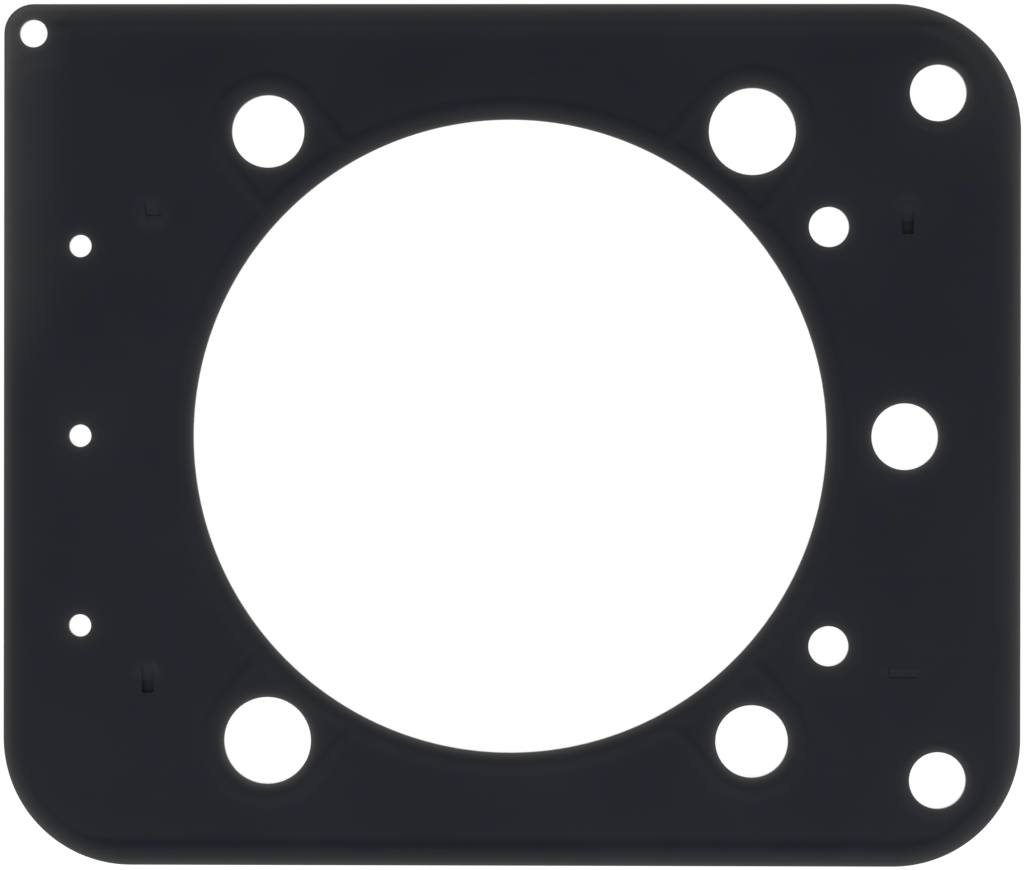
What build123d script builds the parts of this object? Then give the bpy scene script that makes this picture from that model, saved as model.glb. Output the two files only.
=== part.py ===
from build123d import *
import os
from math import atan2, degrees, hypot, sqrt

# Cylinder head gasket for a single cylinder, a stack of three punched sheets of steel:
# two thin spring-steel layers with pressed beads, and a flat spacer between them.
# Four lanced clinches hold the stack together until it is bolted down.
#
# Origin: on the cylinder axis, in the middle plane of the stack. +Z points up to the head,
# +X to the end with the side bolts, +Y to the side with the locating hole.
# All lengths are in millimetres.

# Outline, measured from the cylinder axis
reach_left = 76.8
reach_right = 77.3
reach_front = 65.1
reach_back = 65.5
corner_r = 19.35
ear_wall = 2.35  # metal left round the locating hole, in the small corner

# Sheets
beaded_thickness = 0.20
spacer_thickness = 0.40

# Cylinder bore and the four head bolts, which stand in a rectangle round it
cylinder_bore_d = 96.0
head_bolt_spacing_x = 73.4
head_bolt_spacing_y = 92.4
head_bolt_hole_d = 11.0
sleeve_hole_d = 13.2  # two of the bolts carry a locating sleeve

# Side bolts, the oil drain between them, and the locating hole in the small corner
side_bolt_x = 64.8
side_bolt_spacing_y = 104.1
side_bolt_hole_d = 8.6
drain_x = 59.8
drain_d = 10.1
locating_hole_d = 4.2

# Coolant passages: a wide pair on the right, a row of three metering holes on the left
coolant_x = 48.3
coolant_spacing_y = 63.5
coolant_d = 6.1
metering_x = -65.2
metering_pitch_y = 28.8
metering_count = 3
metering_d = 3.4

# Full bead, an arched ridge with a narrow flat crest
bead_width = 3.0
bead_crest = 0.6
bead_height = 0.25
bead_crest_r = 1.5  # rounding between the crest and the slopes
bead_root = 0.1  # how far a ridge is rooted in its sheet before the hollow is cut

# Crest lines, measured in from the edge that each bead seals
bore_bead_inset = 2.15
bolt_bead_inset = 2.25
edge_bead_inset = 2.45
edge_bead_inset_right = 3.15
edge_bead_corner_r = 15.2
edge_bead_turn_r = 2.0  # where the edge bead turns in to pass inside the locating hole

# Low ring pressed round each side bolt
ring_width = 1.6
ring_crest = 0.4
ring_height = 0.12
ring_inset = 0.95

# Lanced clinches: a tab is cut free on three sides and pushed down through all the layers.
# Beyond the tab's end the upper sheets have a slot, open or almost closed.
clinch_ramp = 1.4  # the sloping part of the tab
clinch_crest_gap = 0.03  # the lowest tab stays this far above the plane of the lower crests
clinch_shear_gap = 0.05
clinch_step = 0.12  # each lower tab is this much wider on each side
clinch_hinge_root = 0.3  # how far a tab is rooted in its sheet behind the hinge
tab_length = 2.4
long_tab_length = 5.0
tab_width = 1.7
wide_tab_width = 2.4
open_slot = 1.9
closed_slot = 0.3

# Each clinch: hinge x and y, turn about Z in degrees, width, length, slot
clinches = (
    (-54.1, 35.8, 0, wide_tab_width, tab_length, closed_slot),
    (-54.9, -34.7, 0, tab_width, tab_length, open_slot),
    (60.2, 35.0, 0, tab_width, tab_length, open_slot),
    (62.4, -35.7, -90, tab_width, long_tab_length, closed_slot),
)

# Levels of the underside of each sheet's flat field
spacer_z = -spacer_thickness / 2
upper_z = spacer_z + spacer_thickness
lower_z = spacer_z - beaded_thickness
clinch_drop = bead_height - clinch_crest_gap

# Positions that follow from the sizes above
plate_width = reach_left + reach_right
plate_depth = reach_front + reach_back
plate_centre = ((reach_right - reach_left) / 2, (reach_back - reach_front) / 2)
locating_corner_r = locating_hole_d / 2 + ear_wall
locating_point = (locating_corner_r - reach_left, reach_back - locating_corner_r)
bolt_x = head_bolt_spacing_x / 2
bolt_y = head_bolt_spacing_y / 2
plain_bolt_points = ((-bolt_x, bolt_y), (bolt_x, -bolt_y))
sleeve_points = ((bolt_x, bolt_y), (-bolt_x, -bolt_y))
side_bolt_points = (
    (side_bolt_x, side_bolt_spacing_y / 2),
    (side_bolt_x, -side_bolt_spacing_y / 2),
)
bore_bead_r = cylinder_bore_d / 2 + bore_bead_inset

# The sheet that every layer is punched from
with BuildSketch() as blank:
    with Locations(plate_centre):
        Rectangle(plate_width, plate_depth)
    fillet(blank.vertices().sort_by_distance(locating_point)[1:], corner_r)
    fillet(blank.vertices().sort_by_distance(locating_point)[0], locating_corner_r)
    Circle(cylinder_bore_d / 2, mode=Mode.SUBTRACT)
    with Locations(*plain_bolt_points):
        Circle(head_bolt_hole_d / 2, mode=Mode.SUBTRACT)
    with Locations(*sleeve_points):
        Circle(sleeve_hole_d / 2, mode=Mode.SUBTRACT)
    with Locations(*side_bolt_points):
        Circle(side_bolt_hole_d / 2, mode=Mode.SUBTRACT)
    with Locations((drain_x, 0)):
        Circle(drain_d / 2, mode=Mode.SUBTRACT)
    with Locations(locating_point):
        Circle(locating_hole_d / 2, mode=Mode.SUBTRACT)
    with Locations((coolant_x, coolant_spacing_y / 2), (coolant_x, -coolant_spacing_y / 2)):
        Circle(coolant_d / 2, mode=Mode.SUBTRACT)
    with Locations((metering_x, 0)):
        with GridLocations(0, metering_pitch_y, 1, metering_count):
            Circle(metering_d / 2, mode=Mode.SUBTRACT)

# The area that the edge bead encloses; it leaves out the locating hole
with BuildSketch() as sealed_area:
    sealed_width = plate_width - edge_bead_inset - edge_bead_inset_right
    sealed_depth = plate_depth - 2 * edge_bead_inset
    sealed_x = plate_centre[0] + (edge_bead_inset - edge_bead_inset_right) / 2
    with Locations((sealed_x, plate_centre[1])):
        Rectangle(sealed_width, sealed_depth)
    fillet(sealed_area.vertices().sort_by_distance(locating_point)[1:], edge_bead_corner_r)
    with Locations(locating_point):
        Circle(locating_hole_d / 2 + bolt_bead_inset, mode=Mode.SUBTRACT)
    fillet(sealed_area.vertices().sort_by_distance(locating_point)[:2], edge_bead_turn_r)


def ridge_section(path, width, crest, height, crest_r):
    """The cross-section of a ridge, standing on the start of a flat path."""
    along = path % 0
    across = Vector(0, 0, 1).cross(along)
    with BuildSketch(Plane(origin=path @ 0, x_dir=across, z_dir=along)) as section:
        with BuildLine():
            Polyline(
                (-width / 2, -bead_root),
                (-width / 2, 0),
                (-crest / 2, height),
                (crest / 2, height),
                (width / 2, 0),
                (width / 2, -bead_root),
                close=True,
            )
        make_face()
        fillet(section.vertices().group_by(Axis.Y)[-1], crest_r)
    return section.sketch


def horseshoe(point, bead_r):
    """A path round the far side of a bolt, with both ends run in to the bore bead."""
    bolt_circle_r = hypot(*point)
    towards_bore = degrees(atan2(-point[1], -point[0]))
    leg = bolt_circle_r - sqrt(bore_bead_r**2 - bead_r**2)
    with BuildLine(Plane(origin=(*point, 0)).rotated((0, 0, towards_bore))) as path:
        Line((leg, bead_r), (0, bead_r))
        CenterArc((0, 0), bead_r, 90, 180)
        Line((0, -bead_r), (leg, -bead_r))
    return path.wire()


def circle_path(point, radius):
    """A closed round path about a hole."""
    with BuildLine(Plane(origin=(*point, 0))) as path:
        CenterArc((0, 0), radius, 0, 360)
    return path.wire()


# All the beads as solid ridges on the plane Z = 0
plain_bead_r = head_bolt_hole_d / 2 + bolt_bead_inset
sleeve_bead_r = sleeve_hole_d / 2 + bolt_bead_inset
bead_paths = [circle_path((0, 0), bore_bead_r), sealed_area.face().outer_wire()]
bead_paths += [horseshoe(point, plain_bead_r) for point in plain_bolt_points]
bead_paths += [horseshoe(point, sleeve_bead_r) for point in sleeve_points]

with BuildPart() as ridges:
    for bead_path in bead_paths:
        sweep(
            sections=ridge_section(bead_path, bead_width, bead_crest, bead_height, bead_crest_r),
            path=bead_path,
        )
    for ring_point in side_bolt_points:
        ring_path = circle_path(ring_point, side_bolt_hole_d / 2 + ring_inset)
        sweep(
            sections=ridge_section(ring_path, ring_width, ring_crest, ring_height, bead_crest_r),
            path=ring_path,
        )


def clinch_windows(thickness, depth_in_stack):
    """The openings of the clinches in a layer that lies on Z = 0, as one cutting tool."""
    with BuildPart() as windows:
        for hinge_x, hinge_y, turn, width, length, slot in clinches:
            width += 2 * clinch_step * depth_in_stack + 2 * clinch_shear_gap
            length += slot + clinch_step * depth_in_stack
            hinge = Plane(origin=(hinge_x, hinge_y, 0)).rotated((0, 0, turn))
            with BuildSketch(hinge) as window:
                with Locations((0, -length / 2)):
                    Rectangle(width, length)
            extrude(window.sketch, amount=thickness)
    return windows.part


def clinch_tabs(thickness, depth_in_stack, closes_slot):
    """The tabs of the clinches in a layer that lies on Z = 0, rooted behind their hinges."""
    with BuildPart() as tabs:
        for hinge_x, hinge_y, turn, width, length, slot in clinches:
            width += 2 * clinch_step * depth_in_stack
            if closes_slot:
                length += slot + clinch_step * depth_in_stack - clinch_shear_gap
            hinge = Plane(origin=(hinge_x, hinge_y, 0)).rotated((0, 0, turn))
            side = Plane(origin=hinge.origin, x_dir=hinge.y_dir, z_dir=hinge.x_dir)
            with BuildSketch(side) as tab:
                with BuildLine():
                    Polyline(
                        (clinch_hinge_root, 0),
                        (0, 0),
                        (-clinch_ramp, -clinch_drop),
                        (-length, -clinch_drop),
                        (-length, thickness - clinch_drop),
                        (-clinch_ramp, thickness - clinch_drop),
                        (0, thickness),
                        (clinch_hinge_root, thickness),
                        close=True,
                    )
                make_face()
            extrude(tab.sketch, amount=width / 2, both=True)
    return tabs.part


# The beaded sheet lies on Z = 0 with its beads up. It gains the ridges on its upper face and
# loses the same shape from its lower face, so the sheet is of even thickness all over.
with BuildPart() as beaded_sheet:
    add(blank.sketch)
    extrude(amount=beaded_thickness)
    with Locations((0, 0, beaded_thickness)):
        add(ridges.part)
    add(ridges.part, mode=Mode.SUBTRACT)

# Lower layer: the beads point down, and their crests carry the gasket
with BuildPart() as lower_layer:
    with Locations((0, 0, spacer_z)):
        add(mirror(beaded_sheet.part, about=Plane.XY, mode=Mode.PRIVATE))
    with Locations((0, 0, lower_z)):
        add(clinch_windows(beaded_thickness, 2), mode=Mode.SUBTRACT)
        add(clinch_tabs(beaded_thickness, 2, closes_slot=True))

# Spacer: flat all over, the same outline and holes
with BuildPart() as spacer_layer:
    with BuildSketch(Plane.XY.offset(spacer_z)):
        add(blank.sketch)
    extrude(amount=spacer_thickness)
    with Locations((0, 0, spacer_z)):
        add(clinch_windows(spacer_thickness, 1), mode=Mode.SUBTRACT)
        add(clinch_tabs(spacer_thickness, 1, closes_slot=False))

# Upper layer: the beads point up to the head
with BuildPart() as upper_layer:
    with Locations((0, 0, upper_z)):
        add(beaded_sheet.part)
        add(clinch_windows(beaded_thickness, 0), mode=Mode.SUBTRACT)
        add(clinch_tabs(beaded_thickness, 0, closes_slot=False))

os.makedirs("parts", exist_ok=True)

lower_layer.part.label = "lower_layer"
export_step(lower_layer.part, "parts/lower_layer.step")

spacer_layer.part.label = "spacer_layer"
export_step(spacer_layer.part, "parts/spacer_layer.step")

upper_layer.part.label = "upper_layer"
export_step(upper_layer.part, "parts/upper_layer.step")
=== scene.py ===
from math import atan2, degrees, hypot, radians, sqrt

import bpy
import numpy as np
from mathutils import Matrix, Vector
from mathutils.geometry import delaunay_2d_cdt


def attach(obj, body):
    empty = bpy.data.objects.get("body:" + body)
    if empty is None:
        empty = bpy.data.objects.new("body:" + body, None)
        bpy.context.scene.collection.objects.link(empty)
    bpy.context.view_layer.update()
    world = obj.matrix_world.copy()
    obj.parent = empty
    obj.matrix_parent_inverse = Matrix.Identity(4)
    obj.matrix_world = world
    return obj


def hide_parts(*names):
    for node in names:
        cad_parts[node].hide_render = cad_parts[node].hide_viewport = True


# Cylinder head gasket: two thin beaded sheets of coated spring steel with a plain steel spacer
# between them. The spacer is the CAD solid. Both beaded sheets are made here as fine meshes.
# Plate sizes are in millimetres from the cylinder axis and turn to metres when a mesh is made.

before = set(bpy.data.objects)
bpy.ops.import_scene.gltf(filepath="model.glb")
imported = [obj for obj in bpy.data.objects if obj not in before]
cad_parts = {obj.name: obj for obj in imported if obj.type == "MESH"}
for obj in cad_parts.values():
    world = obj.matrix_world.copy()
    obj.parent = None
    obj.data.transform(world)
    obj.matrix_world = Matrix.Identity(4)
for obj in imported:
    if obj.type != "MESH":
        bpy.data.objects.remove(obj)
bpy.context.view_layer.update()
mm = 0.001


farAway = 1e9  # mm, further than anything on the plate


# runs are the straight and round stretches that edges and bead lines are made of
def lineRun(start, end):
    return {
        "start": np.array(start, float),
        "end": np.array(end, float),
        "length": hypot(end[0] - start[0], end[1] - start[1]),
    }


def arcRun(centre, radius, startAngle, sweep):
    # angles in degrees; a minus sweep runs clockwise
    return {
        "centre": np.array(centre, float),
        "radius": radius,
        "startAngle": radians(startAngle),
        "sweep": radians(sweep),
        "length": abs(radians(sweep)) * radius,
    }


def pointsOn(run, shares, offset):
    # line: start, plus the share of the way to the end, plus the offset along the left-hand normal
    # arc: centre, plus the radius less the offset (more, when clockwise) times cos and sin of the angle
    if "centre" in run:
        angle = run["startAngle"] + run["sweep"] * shares
        reach = run["radius"] - np.sign(run["sweep"]) * offset
        return run["centre"] + np.stack([reach * np.cos(angle), reach * np.sin(angle)], -1)
    along = (run["end"] - run["start"]) / run["length"]
    normal = np.array([-along[1], along[0]])
    shares, offset = np.broadcast_arrays(shares, offset)
    return run["start"] + shares[..., None] * (run["end"] - run["start"]) + offset[..., None] * normal


def distanceTo(runs, x, y):
    # line: what is left of the point once its own share along the line, held to 0 and 1, is taken off
    # arc: distance from the centre less the radius, or to the nearer end outside the sweep
    nearest = np.full(x.shape, farAway)
    for run in runs:
        if "centre" in run:
            dx = x - run["centre"][0]
            dy = y - run["centre"][1]
            turned = np.mod((np.arctan2(dy, dx) - run["startAngle"]) * np.sign(run["sweep"]), 2 * np.pi)
            ends = pointsOn(run, np.array([0.0, 1.0]), 0)
            toFirst, toLast = (np.hypot(x - endX, y - endY) for endX, endY in ends)
            toEnds = np.minimum(toFirst, toLast)
            away = np.where(turned <= abs(run["sweep"]), np.abs(np.hypot(dx, dy) - run["radius"]), toEnds)
        else:
            along = (run["end"] - run["start"]) / run["length"]
            dx = x - run["start"][0]
            dy = y - run["start"][1]
            share = np.clip(dx * along[0] + dy * along[1], 0, run["length"])
            away = np.hypot(dx - share * along[0], dy - share * along[1])
        nearest = np.minimum(nearest, away)
    return nearest


def roundedLoop(left, right, front, back, radius):
    # three round corners, anticlockwise, from the foot of the left side; the back left corner is added apart
    return [
        arcRun((left + radius, front + radius), radius, 180, 90),
        lineRun((left + radius, front), (right - radius, front)),
        arcRun((right - radius, front + radius), radius, 270, 90),
        lineRun((right, front + radius), (right, back - radius)),
        arcRun((right - radius, back - radius), radius, 0, 90),
    ]


# the plate and what the punch leaves at its edges
plate = {
    "left": -76.8,
    "right": 77.3,
    "front": -65.1,
    "back": 65.5,
    "cornerRadius": 19.35,
    "earRadius": 4.45,
    "holes": [  # x, y, diameter; holes of a kind stand together
        (0, 0, 96.0),  # cylinder bore
        (-36.7, 46.2, 11.0),  # head bolts
        (36.7, -46.2, 11.0),
        (36.7, 46.2, 13.2),  # head bolts in locating sleeves
        (-36.7, -46.2, 13.2),
        (64.8, 52.05, 8.6),  # side bolts
        (64.8, -52.05, 8.6),
        (59.8, 0, 10.1),  # drain
        (-72.35, 61.05, 4.2),  # locating
        (48.3, 31.75, 6.1),  # coolant
        (48.3, -31.75, 6.1),
        (-65.2, 28.8, 3.4),  # metering
        (-65.2, 0, 3.4),
        (-65.2, -28.8, 3.4),
    ],
    "rollDepth": 0.035,  # die roll: the punch draws the sheet's outer face down at each edge
    "rollWidth": 0.40,
    "partDepth": 0.028,  # the sheets part a little at each edge, so the stack shows its three sheets
    "partWidth": 0.35,
    "fullRimDiameter": 12.0,  # the lighter rim round a hole, partly painted glare, is set back and fainter round a hole smaller than this
    "rimLag": 0.045,  # share of what a hole lacks to that diameter
    "onEdge": 0.01,  # what lies nearer to an edge than this is on it
}
boreHole = plate["holes"][0]
headBoltHoles = plate["holes"][1:5]
sideBoltHoles = plate["holes"][5:7]
locatingHole = plate["holes"][8]

ear = (plate["left"] + plate["earRadius"], plate["back"] - plate["earRadius"])
outline = roundedLoop(plate["left"], plate["right"], plate["front"], plate["back"], plate["cornerRadius"]) + [
    lineRun((plate["right"] - plate["cornerRadius"], plate["back"]), (ear[0], plate["back"])),
    arcRun(ear, plate["earRadius"], 90, 90),
    lineRun((plate["left"], ear[1]), (plate["left"], plate["front"] + plate["cornerRadius"])),
]


def outlineGap(x, y):
    # signed distance in from the outline: that of a box less its corner radius, taken corner by corner
    midX = (plate["left"] + plate["right"]) / 2
    midY = (plate["front"] + plate["back"]) / 2
    radius = np.where((x < midX) & (y > midY), plate["earRadius"], plate["cornerRadius"])
    qx = np.abs(x - midX) - (plate["right"] - plate["left"]) / 2 + radius
    qy = np.abs(y - midY) - (plate["back"] - plate["front"]) / 2 + radius
    return radius - np.minimum(np.maximum(qx, qy), 0) - np.hypot(np.maximum(qx, 0), np.maximum(qy, 0))


def holeGap(x, y, lag=0.0):
    # distance out from the nearest hole: that from its centre less its radius
    # and more by the lag times what the hole lacks to the full rim's diameter
    gap = np.full(x.shape, farAway)
    for holeX, holeY, diameter in plate["holes"]:
        setBack = lag * max(plate["fullRimDiameter"] - diameter, 0)
        gap = np.minimum(gap, np.hypot(x - holeX, y - holeY) - diameter / 2 + setBack)
    return gap


def edgeGap(x, y):
    # distance to the nearest punched edge, minus where there is no metal
    return np.minimum(outlineGap(x, y), holeGap(x, y))


# the beads, pressed up in the upper sheet and down in the lower one
bead = {
    "width": 3.3,  # foot to foot, with its rounded run-out
    "crest": 0.2,
    "height": 0.25,
    "rounding": 0.3,  # share of each flank that is rounded, at the foot and at the crest
    "boreInset": 2.15,
    "boltInset": 2.25,
    "edgeInset": 2.45,
    "edgeInsetRight": 3.15,
    "edgeCornerRadius": 15.2,
    "turnRadius": 2.0,
    "earFade": 0.5,  # share of its height that the bead loses where it turns in round the locating hole
    "earFadeFrom": 6.0,  # distance from the ear's centre at which it starts to grow back
    "earFadeLength": 8.0,
    "step": 0.9,  # mesh step along the line
    "rowStart": 1.0,  # mesh rows of the bead keep this far from a punched edge
}
ring = {  # the low ring round each side bolt hole
    "width": 1.8,
    "crest": 0.1,
    "height": 0.12,
    "rounding": 0.3,
    "inset": 0.95,
    "step": 0.45,
    "rowStart": 0.45,
}


def horseshoe(x, y, radius, boreBeadRadius):
    # half a circle round the far side of a bolt, and two legs that run in to the bore bead
    reach = hypot(x, y)
    towards = np.array([-x / reach, -y / reach])
    side = np.array([-towards[1], towards[0]]) * radius
    leg = towards * (reach - sqrt(boreBeadRadius**2 - radius**2))
    point = np.array([x, y])
    heading = degrees(atan2(towards[1], towards[0]))
    return [
        lineRun(point + leg + side, point + side),
        arcRun(point, radius, heading + 90, 180),
        lineRun(point - side, point + leg - side),
    ]


def edgeBeadLine():
    # follows the outline, and turns in to pass inside the locating hole
    left = plate["left"] + bead["edgeInset"]
    right = plate["right"] - bead["edgeInsetRight"]
    front = plate["front"] + bead["edgeInset"]
    back = plate["back"] - bead["edgeInset"]
    turn = bead["turnRadius"]
    notch = locatingHole[2] / 2 + bead["boltInset"]
    besideX = left + turn
    besideY = back - turn
    farX = ear[0] + sqrt((notch + turn) ** 2 - (besideY - ear[1]) ** 2)
    farY = ear[1] - sqrt((notch + turn) ** 2 - (besideX - ear[0]) ** 2)
    headingIn = degrees(atan2(besideY - ear[1], farX - ear[0]))
    headingOut = degrees(atan2(farY - ear[1], besideX - ear[0]))
    return roundedLoop(left, right, front, back, bead["edgeCornerRadius"]) + [
        lineRun((right - bead["edgeCornerRadius"], back), (farX, back)),
        arcRun((farX, besideY), turn, 90, 90 + headingIn),
        arcRun(ear, notch, headingIn, headingOut - headingIn),
        arcRun((besideX, farY), turn, headingOut + 180, -headingOut),
        lineRun((left, farY), (left, front + bead["edgeCornerRadius"])),
    ]


boreBeadRadius = boreHole[2] / 2 + bead["boreInset"]
boreBead = [arcRun(boreHole[:2], boreBeadRadius, 0, 360)]
horseshoes = [
    horseshoe(boltX, boltY, diameter / 2 + bead["boltInset"], boreBeadRadius)
    for boltX, boltY, diameter in headBoltHoles
]
beadLines = [(bead, runs) for runs in (boreBead, edgeBeadLine(), *horseshoes)]
for boltX, boltY, diameter in sideBoltHoles:
    beadLines.append((ring, [arcRun((boltX, boltY), diameter / 2 + ring["inset"], 0, 360)]))


def easedStep(share, rounding):
    # 0 before a slope and 1 after it: a straight slope whose first and last parts are parabolas
    share = np.clip(share, 0, 1)
    curve = 1 / (2 * rounding * (1 - rounding))
    middle = (share - rounding / 2) / (1 - rounding)
    late = np.where(share > 1 - rounding, 1 - (1 - share) ** 2 * curve, middle)
    return np.where(share < rounding, share**2 * curve, late)


def ridgeHeight(x, y):
    # height of each ridge by its distance from the crest line; where two meet, the higher of them
    # and a web in the valley, which fades as either ridge runs out or reaches its full height
    # round the ear the whole is lower by the fade's share
    total = np.zeros(x.shape)
    for shape, runs in beadLines:
        flank = (shape["width"] - shape["crest"]) / 2
        share = (distanceTo(runs, x, y) - shape["crest"] / 2) / flank
        ridge = shape["height"] * (1 - easedStep(share, shape["rounding"]))
        low = np.minimum(total, ridge)
        high = np.maximum(total, ridge)
        total = high + low * (bead["height"] - high) / bead["height"]
    fromEar = np.hypot(x - ear[0], y - ear[1])
    regained = easedStep((fromEar - bead["earFadeFrom"]) / bead["earFadeLength"], bead["rounding"])
    return total * (1 - bead["earFade"] * (1 - regained))


# the clinches: tabs lanced free on three sides and pushed down through the stack
clinch = {
    "places": [  # hinge x and y, turn in degrees, tab width, tab length, slot beyond the tab
        (-54.1, 35.8, 0, 2.4, 2.4, 0.06),
        (-54.9, -34.7, 0, 1.7, 2.4, 1.9),
        (60.2, 35.0, 0, 1.7, 2.4, 1.9),
        (62.4, -35.7, -90, 1.7, 5.0, 0.06),
    ],
    "ramp": 1.4,
    "drop": 0.22,
    "rounding": 0.22,
    "shearGap": 0.03,
    "step": 0.12,  # each layer further down is this much wider on each side
    "cornerRadius": 0.3,  # at the free end of the tab and of its window
    "tabMargin": 0.02,  # less than the shear gap, so that a tab's rim moves with it and its window's doesn't
    "fadeAround": 0.6,  # what is different near a clinch fades out over this much
}


def clinchSizes(place, depthInStack):
    # widths and lengths of a tab and of its window; the lowest tab runs on to close the slot
    hingeX, hingeY, turn, width, length, slot = place
    tabWidth = width + 2 * clinch["step"] * depthInStack
    windowWidth = tabWidth + 2 * clinch["shearGap"]
    windowLength = length + slot + clinch["step"] * depthInStack
    tabLength = windowLength - clinch["shearGap"] if depthInStack == 2 else length
    return tabWidth, tabLength, windowWidth, windowLength


def clinchLocal(place, x, y):
    # turns plate coordinates to the tab's own: u across it, v out from the hinge
    turn = radians(place[2])
    dx = x - place[0]
    dy = y - place[1]
    return dx * np.cos(turn) + dy * np.sin(turn), dx * np.sin(turn) - dy * np.cos(turn)


def clinchPlate(place, u, v):
    # turns the tab's own coordinates back to those of the plate
    turn = radians(place[2])
    return place[0] + u * np.cos(turn) + v * np.sin(turn), place[1] + u * np.sin(turn) - v * np.cos(turn)


def clinchLoop(place, depthInStack):
    # the gap that frees the tab: round the tab from its hinge and back, then round the window
    tabWidth, tabLength, windowWidth, windowLength = clinchSizes(place, depthInStack)
    tabHalf = tabWidth / 2
    windowHalf = windowWidth / 2
    tabCorner = clinch["cornerRadius"]
    windowCorner = clinch["cornerRadius"] + clinch["shearGap"]

    def at(u, v):
        return clinchPlate(place, u, v)

    turn = place[2]
    return [
        lineRun(at(-windowHalf, 0), at(-tabHalf, 0)),
        lineRun(at(-tabHalf, 0), at(-tabHalf, tabLength - tabCorner)),
        arcRun(at(-tabHalf + tabCorner, tabLength - tabCorner), tabCorner, 180 + turn, 90),
        lineRun(at(-tabHalf + tabCorner, tabLength), at(tabHalf - tabCorner, tabLength)),
        arcRun(at(tabHalf - tabCorner, tabLength - tabCorner), tabCorner, 270 + turn, 90),
        lineRun(at(tabHalf, tabLength - tabCorner), at(tabHalf, 0)),
        lineRun(at(tabHalf, 0), at(windowHalf, 0)),
        lineRun(at(windowHalf, 0), at(windowHalf, windowLength - windowCorner)),
        arcRun(at(windowHalf - windowCorner, windowLength - windowCorner), windowCorner, turn, -90),
        lineRun(at(windowHalf - windowCorner, windowLength), at(windowCorner - windowHalf, windowLength)),
        arcRun(at(windowCorner - windowHalf, windowLength - windowCorner), windowCorner, 270 + turn, -90),
        lineRun(at(-windowHalf, windowLength - windowCorner), at(-windowHalf, 0)),
    ]


def clinchDrop(x, y, depthInStack):
    # a tab slopes down from its hinge along the ramp, then lies level
    drop = np.zeros(x.shape)
    margin = clinch["tabMargin"]
    for place in clinch["places"]:
        tabWidth, tabLength = clinchSizes(place, depthInStack)[:2]
        u, v = clinchLocal(place, x, y)
        onTab = (np.abs(u) < tabWidth / 2 + margin) & (v > 0) & (v < tabLength + margin)
        drop = np.where(onTab, clinch["drop"] * easedStep(v / clinch["ramp"], clinch["rounding"]), drop)
    return drop


# mesh points of a sheet, all in mm
meshing = {
    "edgeStep": 0.8,
    "fewestSides": 56,  # of a hole
    "edgeRows": [0.07, 0.15, 0.25, 0.40, 0.9],  # distances in from a punched edge
    "beadRows": 13,
    "rowShare": 0.87,  # rows of a grid lie this share of a step apart, so that its triangles are even
    "webStep": 0.22,  # fine points where a horseshoe runs into the bore bead
    "webBox": (-50, 50, -52, 52),
    "webMargin": 0.3,
    "webSeam": 0.05,  # the web takes over from the bead's rows with this much overlap
    "webFromEdge": 0.5,
    "fieldStep": 4.0,
    "fieldBox": (-76, 77, -65, 66),
    "fieldFromEdge": 2,
    "fieldFromBead": 0.8,
    "tabStep": 0.17,
    "tabInset": 0.06,  # inside a window, points keep this far from its sides
    "windowMargin": 0.15,  # and round it this far
    "markStep": 0.3,  # fine points round a clinch, which carry the tool's marks
    "markAcross": (-4.2, 4.3),
    "markAlong": (-3.6, 7.3),
    "mergeDistance": 1e-5,
    "fewestTriangles": 10000,  # on one face; with less, metal has been lost
}


def loopPoints(runs, step, offset=0.0):
    # evenly stepped points round a closed loop of runs, without each run's last point
    rows = []
    for run in runs:
        count = max(1, int(np.ceil(run["length"] / step)))
        rows.append(pointsOn(run, np.arange(count) / count, np.full(count, offset)))
    return np.concatenate(rows)


def circleStep(diameter):
    # the edge step, or the girth over the fewest sides where that is less
    return min(meshing["edgeStep"], np.pi * diameter / meshing["fewestSides"])


def holeLoop(hole, inset=0.0):
    # once round a hole, with the metal on the left, set out into the metal by the inset
    holeX, holeY, diameter = hole
    return loopPoints([arcRun((holeX, holeY), diameter / 2, 0, -360)], circleStep(diameter), inset)


def staggeredGrid(left, right, front, back, step):
    # rows of points a step apart, every second row moved on by half a step
    rowStep = step * meshing["rowShare"]
    x, y = (v.ravel() for v in np.meshgrid(np.arange(left, right, step), np.arange(front, back, rowStep)))
    return x + np.where(np.round(y / rowStep).astype(int) % 2, step / 2, 0), y


def boundaryLoops(depthInStack):
    # each loop runs with the metal on its left
    loops = [loopPoints(outline, meshing["edgeStep"])]
    loops += [holeLoop(hole) for hole in plate["holes"]]
    for place in clinch["places"]:
        loops.append(loopPoints(clinchLoop(place, depthInStack), meshing["tabStep"]))
    return loops


def edgePoints():
    # rows in from the outline and out from each hole
    rows = []
    for inset in meshing["edgeRows"]:
        rows.append(loopPoints(outline, meshing["edgeStep"], inset))
        rows += [holeLoop(hole, inset) for hole in plate["holes"]]
    return np.concatenate(rows)


def beadPoints():
    # rows beside each crest line, without those of a horseshoe's legs that lie in the bore bead
    rows = []
    for shape, runs in beadLines:
        for offset in np.linspace(-1, 1, meshing["beadRows"]) * shape["width"] / 2:
            line = loopPoints(runs, shape["step"], offset)
            keep = edgeGap(line[:, 0], line[:, 1]) > shape["rowStart"]
            if any(runs is shoe for shoe in horseshoes):
                keep &= distanceTo(boreBead, line[:, 0], line[:, 1]) > bead["width"] / 2
            rows.append(line[keep])
    return np.concatenate(rows)


def inWeb(x, y, seam):
    # where the band of the bore bead, narrower by the seam, and that of a horseshoe overlap
    shoeRuns = [run for shoe in horseshoes for run in shoe]
    nearBore = distanceTo(boreBead, x, y) < bead["width"] / 2 - seam
    return nearBore & (distanceTo(shoeRuns, x, y) < bead["width"] / 2 + meshing["webMargin"])


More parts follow.
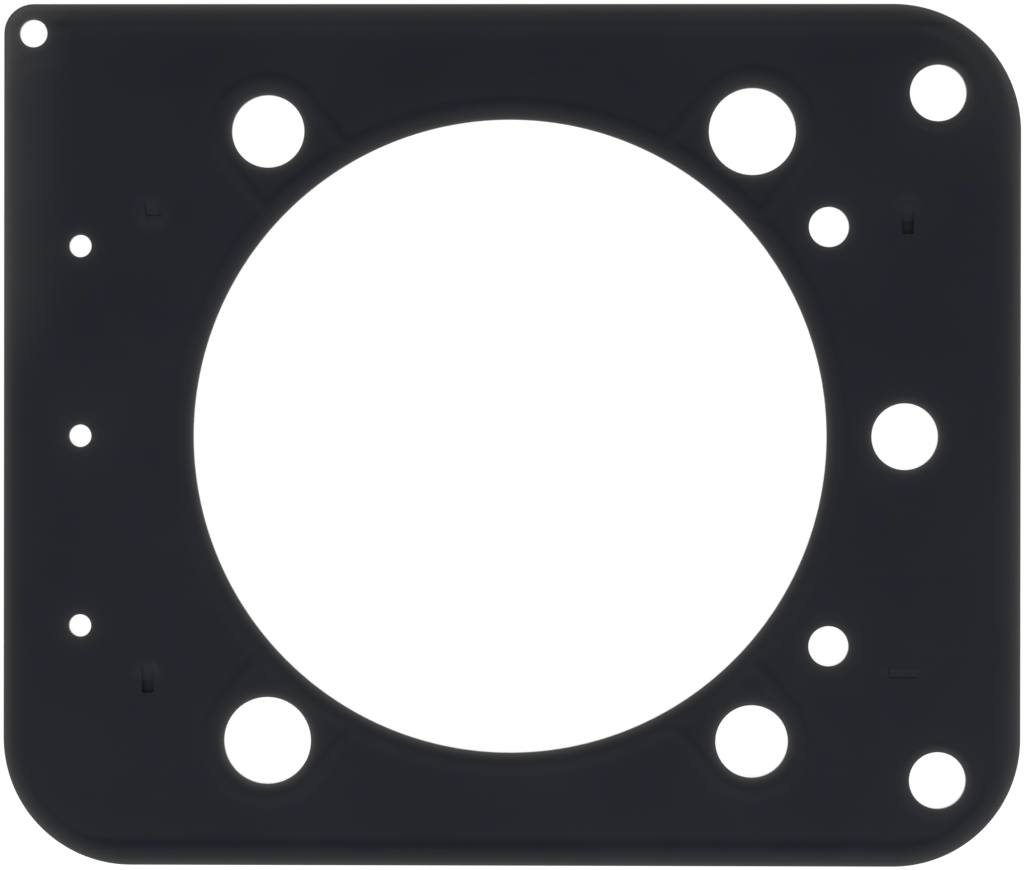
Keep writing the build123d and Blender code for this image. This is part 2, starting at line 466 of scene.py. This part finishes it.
def tabPoints(place, depthInStack):
    # a fine grid on the tab, and a coarser one on and round it
    tabWidth, tabLength = clinchSizes(place, depthInStack)[:2]
    across = int(tabWidth / meshing["tabStep"])
    out = int(tabLength / meshing["tabStep"])
    onTab = np.meshgrid(
        np.linspace(-0.5, 0.5, across + 1)[1:-1] * tabWidth,
        np.linspace(0, 1, out + 1)[1:-1] * tabLength,
    )
    around = np.meshgrid(
        np.arange(*meshing["markAcross"], meshing["markStep"]),
        np.arange(*meshing["markAlong"], meshing["markStep"]),
    )
    return [np.stack(clinchPlate(place, u.ravel(), v.ravel()), -1) for u, v in (onTab, around)]


def freePoints(depthInStack):
    # rows beside the edges, rows along each bead, fine patches where beads meet, tabs, and a wide field
    beside = beadPoints()
    beside = beside[~inWeb(beside[:, 0], beside[:, 1], meshing["webSeam"])]
    x, y = staggeredGrid(*meshing["webBox"], meshing["webStep"])
    meet = inWeb(x, y, 0) & (edgeGap(x, y) > meshing["webFromEdge"])
    webs = np.stack([x[meet], y[meet]], -1)
    tabs = [points for place in clinch["places"] for points in tabPoints(place, depthInStack)]
    x, y = staggeredGrid(*meshing["fieldBox"], meshing["fieldStep"])
    clear = edgeGap(x, y) > meshing["fieldFromEdge"]
    for shape, runs in beadLines:
        clear &= distanceTo(runs, x, y) > shape["width"] / 2 + meshing["fieldFromBead"]
    field = np.stack([x[clear], y[clear]], -1)
    return np.concatenate([edgePoints(), beside, webs, *tabs, field])


def clearOfTabs(points, depthInStack):
    # drops points that would fall on the rim of a window
    keep = np.ones(len(points), bool)
    margin = meshing["windowMargin"]
    for place in clinch["places"]:
        windowWidth, windowLength = clinchSizes(place, depthInStack)[2:]
        u, v = clinchLocal(place, points[:, 0], points[:, 1])
        inside = (np.abs(u) < windowWidth / 2 - meshing["tabInset"]) & (v > 0) & (v < windowLength)
        near = (np.abs(u) < windowWidth / 2 + margin) & (v > -margin) & (v < windowLength + margin)
        keep &= ~near | inside
    return points[keep]


def linearColour(hexColour):
    # sRGB hex to linear: below 0.04045 a straight line, above it a power of 2.4
    channels = np.array([int(hexColour[i:i + 2], 16) / 255 for i in (0, 2, 4)])
    linear = np.where(channels < 0.04045, channels / 12.92, ((channels + 0.055) / 1.055) ** 2.4)
    return (*linear.tolist(), 1.0)


def addNode(tree, kind, settings=None, **inputs):
    # one node with its settings, its input values and its links
    node = tree.nodes.new(kind)
    for name, value in (settings or {}).items():
        setattr(node, name, value)
    for name, value in inputs.items():
        numbered = name[0] == "i" and name[1:].isdigit()
        socket = node.inputs[int(name[1:]) if numbered else name.replace("_", " ")]
        if isinstance(value, bpy.types.NodeSocket):
            tree.links.new(value, socket)
        else:
            socket.default_value = value
    return node


def newMaterial(name):
    material = bpy.data.materials.new(name)
    material.use_nodes = True
    material.node_tree.nodes.clear()
    return material, material.node_tree


colourMix = {"data_type": "RGBA"}
smoothFade = {"interpolation_type": "SMOOTHSTEP"}
naturalBase = 2.718

coatLook = {
    "colour": "181a1f",
    "layers": [  # pattern, its values where the colour starts and is full, share when full, colour
        ("tints", 0.45, 0.7, 0.8, "181925"),
        ("clouds", 0.35, 0.7, 0.6, "1d1f26"),
        ("streaks", 0.5, 0.8, 0.3, "1d1f26"),
    ],
    "tintSize": 5.0,  # sizes in mm
    "cloudSize": 26.0,  # uneven take-up by the roller
    "streakLength": 30.0,
    "streakWidth": 0.8,
    "grainSize": 0.45,  # the real skin of the coat is about 0.1 mm, drawn coarser so that it shows
    "grainRange": (0.3, 0.7),
    "grainDepth": 0.014,
    "grainStrength": 0.5,
    # lighter grey of the rims, partly the coat pressed thin by the punch and partly painted glare round each
    # edge; the painted light bands use it too
    "greyedAndGlare": "474746",
    "outlineRimWidth": 0.74,  # mm over which the lighter rim, partly pressed coat and partly painted glare, fades to a third
    "holeRimWidth": 0.50,
    "wideFadeWidth": 4.0,  # a wider and much fainter fade of the lighter rim, partly painted glare, that follows the rims
    "wideFadeShare": 0.075,
    "regions": {  # X of the start and end of the fade in mm, share at each
        "left": (-82, -65, 1.0, 0.0),
        "right": (60, 75, 0.0, 1.0),
    },
    # painted light and shade: lighter over the left end towards the back, at the back right, along the right
    # end and the back, darker along the front, and a darker then a lighter band over the back bead that evens
    # out its shading
    "paintedLightAndShade": [  # region of the plate or all of it, axis, start and end of the fade in mm, grey at each
        ("left", "Y", 5, 25, 0.0, 0.36),
        ("left", "Y", 50, 61, 0.0, 0.30),
        ("right", "Y", 28, 62, 0.0, 0.14),
        ("all", "X", 73.8, 75.2, 0.0, 0.055),
        ("all", "Y", 59.5, 61.5, 0.0, 0.03),
        ("all", "Y", 61.8, 62.3, 0.0, -0.07),
        ("all", "Y", 62.4, 63.4, 0.0, 0.14),
        ("all", "Y", -61.5, -60.0, -0.05, 0.0),
    ],
    # lighter coat of the rubbed patches, also used for two painted glints of sheared steel
    "rubbedAndGlint": "41454d",
    "markGrain": 1.3,
    "markPatches": (0.3, 0.65, 0.35, 1.0),  # pattern from and to, share of the mark at each
    # painted shade: the dark coat colour for the shade in the clinch recesses
    "paintedShadeDark": "1c1c22",
    "roughness": 0.56,
    "roughnessSpread": 0.05,
    "specular": 0.104,
}


def elastomerCoat():
    # black elastomer, roller-coated on spring steel and cured: a matt skin that is faintly pebbled,
    # a little cloudy from the roller, and greyer at the punched edges, partly pressed thin there and partly
    # painted glare;
    # bands of painted light and shade lie at the ends and the back, and painted shade in the clinch recesses
    material, tree = newMaterial("elastomerCoatRollerApplied")
    place = addNode(tree, "ShaderNodeTexCoord").outputs["Object"]
    stretched = addNode(
        tree, "ShaderNodeMapping", Vector=place,
        Scale=[1 / (coatLook[size] * mm) for size in ("streakLength", "streakWidth", "streakWidth")],
    ).outputs[0]
    patterns = {}
    for name, vector, scale, detail in (
        ("clouds", place, 1 / (coatLook["cloudSize"] * mm), 3.0),
        ("tints", place, 1 / (coatLook["tintSize"] * mm), 2.0),
        ("patches", place, 1 / (coatLook["markGrain"] * mm), 2.0),
        ("streaks", stretched, 1.0, 2.0),
        ("grain", place, 1 / (coatLook["grainSize"] * mm), 2.0),
    ):
        patterns[name] = addNode(
            tree, "ShaderNodeTexNoise", Vector=vector, Scale=scale, Detail=detail, Roughness=0.5,
        ).outputs["Fac"]
    colour = linearColour(coatLook["colour"])
    for name, low, high, most, layerColour in coatLook["layers"]:
        share = addNode(
            tree, "ShaderNodeMapRange", smoothFade, Value=patterns[name],
            From_Min=low, From_Max=high, To_Min=0.0, To_Max=most,
        ).outputs[0]
        colour = addNode(
            tree, "ShaderNodeMix", colourMix, i0=share, i6=colour, i7=linearColour(layerColour),
        ).outputs[2]

    # painted shade: where the mark is below zero, on the inner faces round a clinch, the coat is painted
    # darker for the shade in the clinch recesses
    mark, fromOutline, fromHoles = (
        addNode(tree, "ShaderNodeAttribute", {"attribute_name": name}).outputs["Fac"]
        for name in ("toolMarkGlintAndShade", "outlineGap", "holeRim")
    )
    paintedShade = addNode(tree, "ShaderNodeMath", {"operation": "MULTIPLY"}, i0=mark, i1=-1.0).outputs[0]
    colour = addNode(
        tree, "ShaderNodeMix", colourMix, i0=paintedShade, i6=colour, i7=linearColour(coatLook["paintedShadeDark"]),
    ).outputs[2]

    # greyed and glare: rims painted lighter round every punched edge, partly pressed coat and partly painted
    # glare, and bands of painted light and shade at both ends and the back
    nearest = addNode(
        tree, "ShaderNodeMath", {"operation": "MINIMUM"}, i0=fromOutline, i1=fromHoles,
    ).outputs[0]
    fades = []
    for gap, width in (
        (fromOutline, coatLook["outlineRimWidth"]),
        (fromHoles, coatLook["holeRimWidth"]),
        (nearest, coatLook["wideFadeWidth"]),
    ):
        # e to the power of minus the gap over the width
        power = addNode(tree, "ShaderNodeMath", {"operation": "MULTIPLY"}, i0=gap, i1=-1 / width).outputs[0]
        fade = addNode(tree, "ShaderNodeMath", {"operation": "POWER"}, i0=naturalBase, i1=power)
        fades.append(fade.outputs[0])
    rims = addNode(tree, "ShaderNodeMath", {"operation": "MAXIMUM"}, i0=fades[0], i1=fades[1]).outputs[0]
    greyedAndGlare = addNode(
        tree, "ShaderNodeMath", {"operation": "MULTIPLY_ADD"},
        i0=fades[2], i1=coatLook["wideFadeShare"], i2=rims,
    ).outputs[0]
    axes = addNode(tree, "ShaderNodeSeparateXYZ", Vector=place).outputs
    regions = {"all": 1.0}
    for name, (start, stop, before, after) in coatLook["regions"].items():
        regions[name] = addNode(
            tree, "ShaderNodeMapRange", smoothFade, Value=axes["X"],
            From_Min=start * mm, From_Max=stop * mm, To_Min=before, To_Max=after,
        ).outputs[0]
    for region, axis, start, stop, before, after in coatLook["paintedLightAndShade"]:
        share = addNode(
            tree, "ShaderNodeMapRange", smoothFade, Value=axes[axis],
            From_Min=start * mm, From_Max=stop * mm, To_Min=before, To_Max=after,
        ).outputs[0]
        greyedAndGlare = addNode(
            tree, "ShaderNodeMath", {"operation": "MULTIPLY_ADD"}, i0=share, i1=regions[region], i2=greyedAndGlare,
        ).outputs[0]
    colour = addNode(
        tree, "ShaderNodeMix", colourMix, i0=greyedAndGlare, i6=colour, i7=linearColour(coatLook["greyedAndGlare"]),
    ).outputs[2]

    # rubbed and glint: patches that the lancing tool has polished round the clinches, and two small painted
    # glints beside the tabs
    low, high, least, most = coatLook["markPatches"]
    patchy = addNode(
        tree, "ShaderNodeMapRange", smoothFade, Value=patterns["patches"],
        From_Min=low, From_Max=high, To_Min=least, To_Max=most,
    ).outputs[0]
    marked = addNode(tree, "ShaderNodeMath", {"operation": "MAXIMUM"}, i0=mark, i1=0.0).outputs[0]
    marked = addNode(tree, "ShaderNodeMath", {"operation": "MULTIPLY"}, i0=marked, i1=patchy).outputs[0]
    colour = addNode(
        tree, "ShaderNodeMix", colourMix, i0=marked, i6=colour, i7=linearColour(coatLook["rubbedAndGlint"]),
    ).outputs[2]
    low, high = coatLook["grainRange"]
    roughness = addNode(
        tree, "ShaderNodeMapRange", smoothFade, Value=patterns["grain"], From_Min=low, From_Max=high,
        To_Min=coatLook["roughness"] - coatLook["roughnessSpread"],
        To_Max=coatLook["roughness"] + coatLook["roughnessSpread"],
    ).outputs[0]
    pebble = addNode(
        tree, "ShaderNodeBump", Strength=coatLook["grainStrength"], Distance=coatLook["grainDepth"] * mm,
        Height=patterns["grain"],
    ).outputs[0]
    shader = addNode(
        tree, "ShaderNodeBsdfPrincipled", Base_Color=colour, Roughness=roughness, Normal=pebble,
        Specular_IOR_Level=coatLook["specular"],
    )
    addNode(tree, "ShaderNodeOutputMaterial", Surface=shader.outputs[0])
    return material


steelLook = {
    "cut": [  # height in the stack in mm and colour: black coat, smooth sheared steel, torn steel
        (-0.372, "1b1c21"), (-0.360, "aaa7a1"), (-0.290, "a3a19b"), (-0.270, "6f6d67"), (-0.226, "696661"),
        (-0.218, "1b1c21"), (-0.184, "1b1c21"), (-0.176, "696661"), (-0.010, "726f6a"), (0.015, "a3a19b"),
        (0.176, "aaa7a1"), (0.184, "1b1c21"), (0.218, "1b1c21"), (0.226, "696661"), (0.270, "6f6d67"),
        (0.290, "a3a19b"), (0.360, "aaa7a1"), (0.372, "1b1c21"),
    ],
    "halfStack": 0.4,  # mm from the middle of the stack to its outer faces
    "rolled": "999690",
    "faceTurn": (0.3, 0.5),  # how far up or down the normal points where a rolled face starts and is whole
    # painted shade: dark colour of the spacer's faces where they show in the clinch slots
    "slotShadeColour": "2c2c31",
    "slotShadeReach": 5.0,  # mm round a clinch where the spacer's faces, seen through the clinch windows, take painted shade
    "smooth": 0.32,
    "rough": 0.58,
    "brightness": (0.16, 0.42),  # of the torn and of the sheared steel, which are rough and smooth
    "markSize": 0.10,  # mm, about what the punch leaves
    "markStretch": 0.15,  # the marks run upright: their scale along Z is this share of that across
    "markStrength": 0.35,
    "markDepth": 0.008,
    "unevenness": 0.05,  # mm that the line between sheared and torn steel wanders
}


def nearClinch(tree, place, reach):
    # 1 within the reach of the nearest clinch's hinge, and 0 a fade's width further out
    nearest = 1.0
    for clinchX, clinchY in [spot[:2] for spot in clinch["places"]]:
        away = addNode(
            tree, "ShaderNodeVectorMath", {"operation": "DISTANCE"},
            i0=place, i1=(clinchX * mm, clinchY * mm, 0),
        ).outputs["Value"]
        nearest = addNode(tree, "ShaderNodeMath", {"operation": "MINIMUM"}, i0=nearest, i1=away).outputs[0]
    return addNode(
        tree, "ShaderNodeMapRange", Value=nearest,
        From_Min=reach * mm, From_Max=(reach + clinch["fadeAround"]) * mm, To_Min=1.0, To_Max=0.0,
    ).outputs[0]


def punchedSteel(name, rolledFaces=False):
    # steel cut by a punch: each sheet's edge is bright and drawn smooth where the punch shears it, dull and
    # grainy where it tears, with upright drag marks; a black line of coat shows between two sheets
    material, tree = newMaterial(name)
    place = addNode(tree, "ShaderNodeTexCoord").outputs["Object"]
    across = 1 / (steelLook["markSize"] * mm)
    upright = addNode(
        tree, "ShaderNodeMapping", Vector=place, Scale=(across, across, steelLook["markStretch"] * across),
    ).outputs[0]
    marks = addNode(
        tree, "ShaderNodeTexNoise", Vector=upright, Scale=1.0, Detail=3.0, Roughness=0.6,
    ).outputs["Fac"]
    height = addNode(tree, "ShaderNodeSeparateXYZ", Vector=place).outputs["Z"]
    wander = addNode(
        tree, "ShaderNodeMath", {"operation": "MULTIPLY_ADD"},
        i0=marks, i1=steelLook["unevenness"] * mm, i2=-0.5 * steelLook["unevenness"] * mm,
    ).outputs[0]
    uneven = addNode(tree, "ShaderNodeMath", {"operation": "ADD"}, i0=height, i1=wander).outputs[0]

    # a ramp over the height of the stack, once with a wandering level and once with the true one
    half = steelLook["halfStack"]
    ramps = []
    for level in (uneven, height):
        share = addNode(
            tree, "ShaderNodeMapRange", Value=level, From_Min=-half * mm, From_Max=half * mm,
        ).outputs[0]
        ramp = addNode(tree, "ShaderNodeValToRGB", i0=share)
        stops = ramp.color_ramp.elements
        for index, (stopHeight, stopColour) in enumerate(steelLook["cut"]):
            stop = stops[index] if index < len(stops) else stops.new(1.0)
            stop.position = (stopHeight + half) / (2 * half)
            stop.color = linearColour(stopColour)
        ramps.append(ramp.outputs["Color"])
    # the darker of the two: only the line between sheared and torn wanders, and the coat lines stay true
    colour = addNode(
        tree, "ShaderNodeMix", {"data_type": "RGBA", "blend_type": "DARKEN"},
        i0=1.0, i6=ramps[0], i7=ramps[1],
    ).outputs[2]
    if rolledFaces:
        # faces of the sheet, rolled: even grey; they are where the true normal stands up or down
        normal = addNode(tree, "ShaderNodeNewGeometry").outputs["True Normal"]
        up = addNode(tree, "ShaderNodeSeparateXYZ", Vector=normal).outputs["Z"]
        upOrDown = addNode(tree, "ShaderNodeMath", {"operation": "ABSOLUTE"}, i0=up).outputs[0]
        starts, whole = steelLook["faceTurn"]
        flat = addNode(tree, "ShaderNodeMapRange", Value=upOrDown, From_Min=starts, From_Max=whole).outputs[0]
        # painted shade: near a clinch the spacer's faces, seen through the windows, are painted dark
        slotShade = nearClinch(tree, place, steelLook["slotShadeReach"])
        for share, faceColour in ((flat, steelLook["rolled"]), (slotShade, steelLook["slotShadeColour"])):
            colour = addNode(
                tree, "ShaderNodeMix", colourMix, i0=share, i6=colour, i7=linearColour(faceColour),
            ).outputs[2]
    brightness = addNode(tree, "ShaderNodeRGBToBW", Color=colour).outputs[0]
    dull, bright = steelLook["brightness"]
    roughness = addNode(
        tree, "ShaderNodeMapRange", Value=brightness, From_Min=dull, From_Max=bright,
        To_Min=steelLook["rough"], To_Max=steelLook["smooth"],
    ).outputs[0]
    dragged = addNode(
        tree, "ShaderNodeBump", Strength=steelLook["markStrength"], Distance=steelLook["markDepth"] * mm,
        Height=marks,
    ).outputs[0]
    shader = addNode(
        tree, "ShaderNodeBsdfPrincipled",
        Base_Color=colour, Metallic=1.0, Roughness=roughness, Normal=dragged,
    )
    addNode(tree, "ShaderNodeOutputMaterial", Surface=shader.outputs[0])
    return material


coat = elastomerCoat()
cutSteel = punchedSteel("springSteelPunchedEdge")
spacerSteel = punchedSteel("coldRolledSteelSpacer", rolledFaces=True)
print("materials made")


# the beaded sheets
sheets = {
    "upperSheet": {"node": "upper_layer", "side": 1, "depthInStack": 0},
    "lowerSheet": {"node": "lower_layer", "side": -1, "depthInStack": 2},
    "innerLevel": 0.2,
    "outerLevel": 0.4,
    "paintedShadeReach": 0.8,  # mm beyond a clinch where the painted shade of the recess is full, and then over which it fades
    "paintedShadeFade": 2.0,
    "slopeStep": 0.004,  # mm
}

toolPatchesAndGlints = [  # x, y, half length, half width, turn in degrees, share of grey at the middle
    (-54.4, 33.7, 3.7, 3.5, 0, 0.10),
    # painted glint: a light spot just in front of the back left tab's tip
    (-53.5, 32.3, 1.0, 0.8, 0, 0.13),
    (-55.1, -35.7, 3.0, 2.2, 0, 0.10),
    # painted glint: a streak beside the sheared right side of the front left tab
    (-53.6, -35.6, 2.0, 0.55, -75, 0.24),
    (60.1, 35.2, 2.4, 2.4, 90, 0.08),
    (59.8, -35.7, 4.2, 1.4, 0, 0.09),
]


def toolMarkGlintAndShade(x, y, outer):
    # outer faces: the highest of the patches that the tool has rubbed and of two painted glints, each a
    # parabola from middle to rim
    # inner faces: down to -1 round a clinch, where painted shade darkens the coat in the recess, and back to
    # 0 over the fade
    mark = np.zeros(x.shape)
    if not outer:
        for hingeX, hingeY, turn, width, length, slot in clinch["places"]:
            reach = length + slot
            middleX, middleY = clinchPlate((hingeX, hingeY, turn), 0, reach / 2)
            away = np.hypot(x - middleX, y - middleY) - reach / 2 - sheets["paintedShadeReach"]
            mark = np.minimum(mark, np.clip(away / sheets["paintedShadeFade"] - 1, -1, 0))
        return mark
    for markX, markY, halfLength, halfWidth, turn, share in toolPatchesAndGlints:
        cosTurn = np.cos(radians(turn))
        sinTurn = np.sin(radians(turn))
        along = ((x - markX) * cosTurn + (y - markY) * sinTurn) / halfLength
        across = ((y - markY) * cosTurn - (x - markX) * sinTurn) / halfWidth
        mark = np.maximum(mark, share * (1 - along**2 - across**2))
    return mark


def faceLevel(x, y, side, depthInStack, outer):
    # level of a face: its flat level and the bead, taken up or down, less the tab's drop
    # near a punched edge the outer face rolls off and the inner one lifts, both along a parabola
    level = (sheets["outerLevel"] if outer else sheets["innerLevel"]) + ridgeHeight(x, y)
    if outer:
        level = level - plate["rollDepth"] * np.maximum(1 - edgeGap(x, y) / plate["rollWidth"], 0) ** 2
    else:
        level = level + plate["partDepth"] * np.maximum(1 - edgeGap(x, y) / plate["partWidth"], 0) ** 2
    return side * level - clinchDrop(x, y, depthInStack)


def faceNormals(x, y, side, depthInStack, outer):
    # minus the slope of the level along X and along Y, found by a small step each way, and 1 along Z
    step = sheets["slopeStep"]
    slopes = []
    for stepX, stepY in ((step, 0), (0, step)):
        ahead = faceLevel(x + stepX, y + stepY, side, depthInStack, outer)
        behind = faceLevel(x - stepX, y - stepY, side, depthInStack, outer)
        slopes.append((ahead - behind) / (2 * step))
    normals = np.stack([-slopes[0], -slopes[1], np.ones_like(x)], -1)
    return normals / np.linalg.norm(normals, axis=1, keepdims=True)


def makeSheet(name, node, side, depthInStack):
    # both faces are one flat net of triangles, each lifted to its own level, with walls between their rims
    loops = boundaryLoops(depthInStack)
    starts = np.cumsum([0] + [len(loop) for loop in loops])
    outlines = [list(range(starts[i], starts[i + 1])) for i in range(len(loops))]
    # the loops of holes and gaps run clockwise, and a face has to run anticlockwise
    outlines = outlines[:1] + [loop[::-1] for loop in outlines[1:]]
    free = clearOfTabs(freePoints(depthInStack), depthInStack)
    points = np.concatenate([*loops, free])
    made = delaunay_2d_cdt(points.tolist(), [], outlines, 0, meshing["mergeDistance"], True)
    flat = np.array(made[0])
    # metal is every triangle that lies in the outline and in no hole or gap
    metal = np.array([list(inside) == [0] for inside in made[5]])
    tris = np.array(made[2])[metal]
    if len(tris) < meshing["fewestTriangles"]:
        raise ValueError(f"{name} has lost its metal: {len(tris)} triangles on a face")
    used, tris = np.unique(tris, return_inverse=True)
    flat = flat[used]
    tris = tris.reshape(-1, 3)
    x, y = flat[:, 0], flat[:, 1]
    count = len(flat)
    # the rim is every triangle side that has no partner; a wall stands on each
    sides = np.concatenate([tris[:, [0, 1]], tris[:, [1, 2]], tris[:, [2, 0]]])
    rim = sides[~np.isin(sides[:, 0] * count + sides[:, 1], sides[:, 1] * count + sides[:, 0])]
    walls = np.concatenate([
        np.column_stack([rim[:, 1], rim[:, 0], rim[:, 0] + count]),
        np.column_stack([rim[:, 1], rim[:, 0] + count, rim[:, 1] + count]),
    ])
    faces = np.concatenate([tris, tris[:, ::-1] + count, walls])
    top = np.column_stack([x, y, faceLevel(x, y, side, depthInStack, side > 0)])
    bottom = np.column_stack([x, y, faceLevel(x, y, side, depthInStack, side < 0)])
    mesh = bpy.data.meshes.new(name)
    mesh.from_pydata((np.concatenate([top, bottom]) * mm).tolist(), [], faces.tolist())
    # walls look straight out, which is right of the way the rim runs
    # faces take the pressed shape's own normals
    outward = np.zeros((count, 3))
    across = np.stack([flat[rim[:, 1], 1] - flat[rim[:, 0], 1], flat[rim[:, 0], 0] - flat[rim[:, 1], 0]], -1)
    np.add.at(outward[:, :2], rim[:, 0], across)
    np.add.at(outward[:, :2], rim[:, 1], across)
    lengths = np.linalg.norm(outward, axis=1, keepdims=True)
    outward /= np.where(lengths > 0, lengths, 1)
    cornerNormals = np.concatenate([
        faceNormals(x, y, side, depthInStack, side > 0)[tris].reshape(-1, 3),
        -faceNormals(x, y, side, depthInStack, side < 0)[tris[:, ::-1]].reshape(-1, 3),
        outward[walls % count].reshape(-1, 3),
    ])
    mesh.polygons.foreach_set("use_smooth", np.ones(len(faces), bool))
    # punched walls are bare steel; lanced walls take the black coat instead, painted shade in the narrow gaps
    # round the tabs
    punched = np.tile(edgeGap(x, y)[rim[:, 0]] < plate["onEdge"], 2)
    mesh.polygons.foreach_set("material_index", np.r_[np.zeros(2 * len(tris), int), punched.astype(int)])
    mesh.normals_split_custom_set(cornerNormals.tolist())
    carriedValues = {
        "outlineGap": np.tile(outlineGap(x, y), 2),
        "holeRim": np.tile(holeGap(x, y, plate["rimLag"]), 2),
        "toolMarkGlintAndShade": np.concatenate([toolMarkGlintAndShade(x, y, side > 0), toolMarkGlintAndShade(x, y, side < 0)]),
    }
    for attributeName, values in carriedValues.items():
        attribute = mesh.attributes.new(attributeName, "FLOAT", "POINT")
        attribute.data.foreach_set("value", values.astype(np.float32))
    mesh.materials.append(coat)
    mesh.materials.append(cutSteel)
    mesh.update()
    piece = bpy.data.objects.new(name, mesh)
    bpy.context.scene.collection.objects.link(piece)
    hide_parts(node)
    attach(piece, "root")
    print(name, "made,", len(faces), "triangles")


for sheetName in ("upperSheet", "lowerSheet"):
    makeSheet(sheetName, **sheets[sheetName])

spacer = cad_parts["spacer_layer"]
for materialSlot in spacer.material_slots:
    materialSlot.material = spacerSteel
print("spacer finished")


# floor, light and camera
studio = {
    "floorSize": 12.0,  # metres
    "floorLevel": -0.653,  # mm, a hair under the lower beads, so that the two never share a plane
    "paper": 0.82,  # what the floor gives back to the object
    "shaded": 0.25,  # what is seen of it: a part that takes the shadow
    "glow": 0.87,  # and a part that keeps it white
    "shadowReach": 6.5,  # mm round a clinch where there is no glow
    "lens": 100.0,
    "sensorWidth": 36.0,
    "cameraPlace": (4.60, 0.80, 431.41),  # mm; it looks down, from a hair to the right of the middle
    "cameraTurn": (-0.080, 0.566, 0.069),  # degrees
    "panelPower": 15.2,  # watts
    "panelPlace": (-0.04, -0.55, 0.95),  # metres, as its size
    "panelSize": (2.6, 1.6),
    "horizonLight": 1.0,
    "roomLight": 0.48,
    "horizon": (0.05, 0.3),  # share of the way up where the one turns into the other
}


def makeFloor():
    half = studio["floorSize"] / 2
    level = studio["floorLevel"] * mm
    mesh = bpy.data.meshes.new("floor")
    corners = [(x * half, y * half, level) for x, y in ((-1, -1), (1, -1), (1, 1), (-1, 1))]
    mesh.from_pydata(corners, [], [(0, 1, 2, 3)])
    floor = bpy.data.objects.new("floor", mesh)
    bpy.context.scene.collection.objects.link(floor)
    material, tree = newMaterial("paleFloorPaper")
    path = addNode(tree, "ShaderNodeLightPath").outputs
    seen = path["Is Camera Ray"]
    for ray in ("Is Glossy Ray", "Is Transmission Ray"):
        seen = addNode(
            tree, "ShaderNodeMath", {"operation": "ADD", "use_clamp": True}, i0=seen, i1=path[ray],
        ).outputs[0]
    plain = addNode(tree, "ShaderNodeBsdfDiffuse", Color=(studio["paper"],) * 3 + (1,))
    shaded = addNode(tree, "ShaderNodeBsdfDiffuse", Color=(studio["shaded"],) * 3 + (1,))
    # under a clinch the paper lies in deep shadow, which shows through the gaps beside the tabs
    place = addNode(tree, "ShaderNodeTexCoord").outputs["Object"]
    strength = addNode(
        tree, "ShaderNodeMapRange", Value=nearClinch(tree, place, studio["shadowReach"]),
        To_Min=studio["glow"], To_Max=0.0,
    ).outputs[0]
    glow = addNode(tree, "ShaderNodeEmission", Color=(1, 1, 1, 1), Strength=strength)
    white = addNode(tree, "ShaderNodeAddShader", i0=shaded.outputs[0], i1=glow.outputs[0])
    mixed = addNode(tree, "ShaderNodeMixShader", i0=seen, i1=plain.outputs[0], i2=white.outputs[0])
    addNode(tree, "ShaderNodeOutputMaterial", Surface=mixed.outputs[0])
    mesh.materials.append(material)


def makeWorld():
    # a pale room: white down at the horizon, dimmer overhead
    world = bpy.data.worlds.new("studio")
    world.use_nodes = True
    tree = world.node_tree
    tree.nodes.clear()
    direction = addNode(tree, "ShaderNodeTexCoord").outputs["Generated"]
    up = addNode(tree, "ShaderNodeSeparateXYZ", Vector=direction).outputs["Z"]
    low, high = studio["horizon"]
    strength = addNode(
        tree, "ShaderNodeMapRange", smoothFade, Value=up, From_Min=low, From_Max=high,
        To_Min=studio["horizonLight"], To_Max=studio["roomLight"],
    ).outputs[0]
    background = addNode(tree, "ShaderNodeBackground", Color=(1, 1, 1, 1), Strength=strength)
    addNode(tree, "ShaderNodeOutputWorld", Surface=background.outputs[0])
    bpy.context.scene.world = world


def areaLamp(name, place, target, size, power):
    data = bpy.data.lights.new(name, "AREA")
    data.shape = "RECTANGLE"
    data.size, data.size_y = size
    data.energy = power
    lamp = bpy.data.objects.new(name, data)
    lamp.location = place
    lamp.rotation_euler = (Vector(target) - Vector(place)).to_track_quat("-Z", "Y").to_euler()
    lamp.visible_camera = False
    bpy.context.scene.collection.objects.link(lamp)


makeFloor()
makeWorld()
areaLamp("frontPanel", studio["panelPlace"], (0, 0, 0), studio["panelSize"], studio["panelPower"])

cameraData = bpy.data.cameras.new("camera")
cameraData.lens = studio["lens"]
cameraData.sensor_width = studio["sensorWidth"]
camera = bpy.data.objects.new("camera", cameraData)
camera.location = [v * mm for v in studio["cameraPlace"]]
camera.rotation_euler = [radians(v) for v in studio["cameraTurn"]]
bpy.context.scene.collection.objects.link(camera)
bpy.context.scene.camera = camera
bpy.context.scene.view_settings.view_transform = "Standard"
print("stage set")
